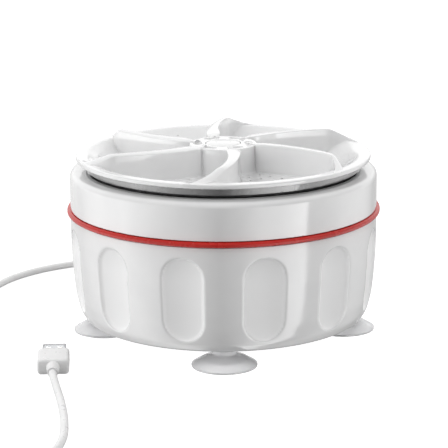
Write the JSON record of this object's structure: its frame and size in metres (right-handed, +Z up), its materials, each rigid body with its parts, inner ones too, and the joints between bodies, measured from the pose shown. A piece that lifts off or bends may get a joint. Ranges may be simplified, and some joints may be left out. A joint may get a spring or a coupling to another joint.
{
  "type": "portable mini washer",
  "caption": "Short round turbine washer on suction feet, with a curved-bladed impeller on top, fluted lower casing, red trim ring, geared motor inside and a USB lead.",
  "frame": {"origin": "on the surface that the suction feet stand on, on the impeller's axis", "axes": "+Z up along the impeller's axis; the cord leaves at +Y, so the plug lies at the front left"},
  "size_m": [0.2214, 0.3552, 0.102],
  "materials": {
    "white_gloss": "glossy moulded ABS",
    "white_satin": "satin moulded plastic",
    "red_trim": "glossy red",
    "dark_trim": "glossy dark grey",
    "soft_clear": "translucent soft vinyl",
    "black_rubber": "matt black rubber",
    "grey_plastic": "moulded grey",
    "gear_plastic": "natural acetal",
    "steel": "bright",
    "bronze": "sintered",
    "copper": "enamelled windings",
    "gold": "gold plated",
    "magnet": "ferrite",
    "board": "green solder mask",
    "black_plastic": "moulded black",
    "white_cord": "white PVC",
    "wire_red": "red insulation"
  },
  "bodies": {
    "base": {"upper_casing": "white_gloss", "lower_casing": "white_gloss", "base_plate": "white_satin", "lead_connector": "white_satin", "plug_tongue": "white_satin", "red_trim_ring": "red_trim", "suction_foot_right": "soft_clear", "suction_foot_back": "soft_clear", "suction_foot_left": "soft_clear", "suction_foot_front": "soft_clear", "casing_seal": "black_rubber", "shaft_seal": "black_rubber", "cord_tie": "black_rubber", "power_lead": "black_rubber", "motor_lead_2": "black_rubber", "gearbox_housing": "grey_plastic", "base_screw_1": "steel", "base_screw_2": "steel", "base_screw_3": "steel", "base_screw_4": "steel", "gearbox_screw_1": "steel", "gearbox_screw_2": "steel", "gearbox_screw_3": "steel", "idler_axle": "steel", "motor_can": "steel", "motor_screw_1": "steel", "motor_screw_2": "steel", "plug_shell": "steel", "lower_bearing": "bronze", "upper_bearing": "bronze", "plug_contact_1": "gold", "plug_contact_2": "gold", "plug_contact_3": "gold", "plug_contact_4": "gold", "motor_magnet_1": "magnet", "motor_magnet_2": "magnet", "control_board": "board", "driver_chip": "black_plastic", "capacitor": "black_plastic", "motor_end_cap": "black_plastic", "cable_gland": "white_cord", "cord_to_coil": "white_cord", "cord_coil": "white_cord", "cord_to_plug": "white_cord", "plug_collar": "white_cord", "plug_overmould": "white_cord", "motor_lead_1": "wire_red"},
    "impeller": {"impeller": "white_gloss", "impeller_skirt": "dark_trim", "hub_cap": "white_gloss", "impeller_screw": "steel", "drive_shaft": "steel", "output_gear": "gear_plastic"},
    "idler": {"idler_gear": "gear_plastic"},
    "motor_rotor": {"motor_rotor": "copper", "motor_shaft": "steel", "motor_pinion": "bronze"}
  },
  "joints": [
    {"name": "impeller_spin", "type": "hinge", "parent": "base", "child": "impeller", "pos_m": [0, 0, 0.09], "axis": [0, 0, 1], "continuous": true},
    {"name": "idler_spin", "type": "hinge", "parent": "base", "child": "idler", "pos_m": [0.024, 0, 0.06], "axis": [0, 0, 1], "continuous": true},
    {"name": "motor_spin", "type": "hinge", "parent": "base", "child": "motor_rotor", "pos_m": [0.024, 0.024, 0.05], "axis": [0, 0, 1], "continuous": true}
  ],
  "couplings": [
    {"joint": "idler_spin", "follows": "impeller_spin", "ratio": -3},
    {"joint": "motor_spin", "follows": "impeller_spin", "ratio": 9}
  ]
}
